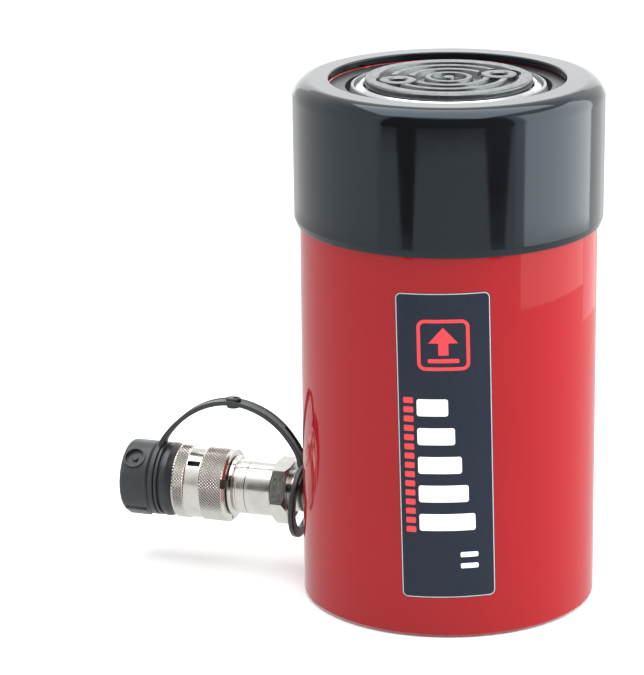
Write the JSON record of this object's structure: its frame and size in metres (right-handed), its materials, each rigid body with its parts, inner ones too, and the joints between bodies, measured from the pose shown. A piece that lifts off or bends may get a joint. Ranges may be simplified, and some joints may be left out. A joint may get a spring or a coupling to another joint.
{
  "type": "hydraulic cylinder",
  "caption": "Short single-acting hydraulic cylinder with spring return, snap-in grooved saddle, collar thread protector and a capped quick coupler low on its side.",
  "frame": {"origin": "centre of the flat base face", "axes": "+Z along the plunger's axis, from the base towards the saddle; the coupler points along -X; lengths are in metres"},
  "size_m": [0.2152, 0.1324, 0.2286],
  "materials": {
    "red_paint": "gloss enamel",
    "machined_steel": "turned",
    "hard_chrome": "ground and plated",
    "black_oxide": "phosphated and oiled",
    "nickel_plate": "bright nickel",
    "spring_steel": "oiled",
    "bearing_bronze": "turned",
    "black_vinyl": "dip-moulded gloss",
    "black_plastic": "moulded satin",
    "grey_polymer": "satin",
    "seal_rubber": "oiled",
    "label_film": "printed film"
  },
  "bodies": {
    "barrel": {"cylinder_body": "red_paint", "stop_ring": "machined_steel", "stop_ring_lock_screw": "black_oxide", "guide_bearing": "bearing_bronze", "wiper_ring": "grey_polymer", "base_spring_anchor": "machined_steel", "label_film": "label_film", "return_spring": "spring_steel", "coupler_rear_body": "nickel_plate", "coupler_front_body": "nickel_plate", "coupler_o_ring": "seal_rubber", "poppet_spring": "spring_steel", "collar_snap_ring": "spring_steel"},
    "plunger": {"plunger": "hard_chrome", "piston_head": "machined_steel", "piston_snap_ring": "spring_steel", "piston_seal": "seal_rubber", "piston_backup_ring": "grey_polymer", "piston_wear_ring": "bearing_bronze", "piston_o_ring": "seal_rubber", "plunger_spring_anchor": "machined_steel", "anchor_bolt": "black_oxide", "anchor_seal_washer": "spring_steel"},
    "saddle": {"saddle": "black_oxide", "saddle_retaining_ring": "seal_rubber"},
    "thread_protector": {"thread_protector": "black_vinyl"},
    "union_collar": {"union_collar": "nickel_plate"},
    "poppet": {"poppet": "machined_steel"},
    "cap_strap": {"cap_strap": "black_plastic"},
    "dust_cap": {"dust_cap": "black_plastic", "dust_cap_seal": "seal_rubber"}
  },
  "joints": [
    {"name": "plunger_slide", "type": "slide", "parent": "barrel", "child": "plunger", "axis": [0, 0, 1], "range_m": [0, 0.1016], "stiffness_N_per_m": 2500, "springref_m": -0.06, "deforming": ["return_spring"]},
    {"name": "saddle_lift", "type": "slide", "parent": "plunger", "child": "saddle", "axis": [0, 0, 1], "range_m": [0, 0.02]},
    {"name": "protector_lift", "type": "slide", "parent": "barrel", "child": "thread_protector", "axis": [0, 0, 1], "range_m": [0, 0.07]},
    {"name": "union_collar_spin", "type": "hinge", "parent": "barrel", "child": "union_collar", "pos_m": [-0.112, 0, 0.0365], "axis": [-1, 0, 0], "continuous": true},
    {"name": "poppet_push", "type": "slide", "parent": "barrel", "child": "poppet", "axis": [1, 0, 0], "range_m": [0, 0.004], "stiffness_N_per_m": 1500, "springref_m": -0.004, "deforming": ["poppet_spring"]},
    {"name": "cap_travel", "type": "slide", "parent": "barrel", "child": "cap_strap", "axis": [-1, 0, 0], "range_m": [0, 0.012], "deforming": ["cap_strap"]},
    {"name": "cap_turn", "type": "hinge", "parent": "cap_strap", "child": "dust_cap", "pos_m": [-0.1335, 0, 0.0365], "axis": [-1, 0, 0], "range_deg": [0, 720]}
  ],
  "couplings": [
    {"joint": "cap_travel", "follows": "cap_turn", "m_per_rad": 0.000954}
  ]
}
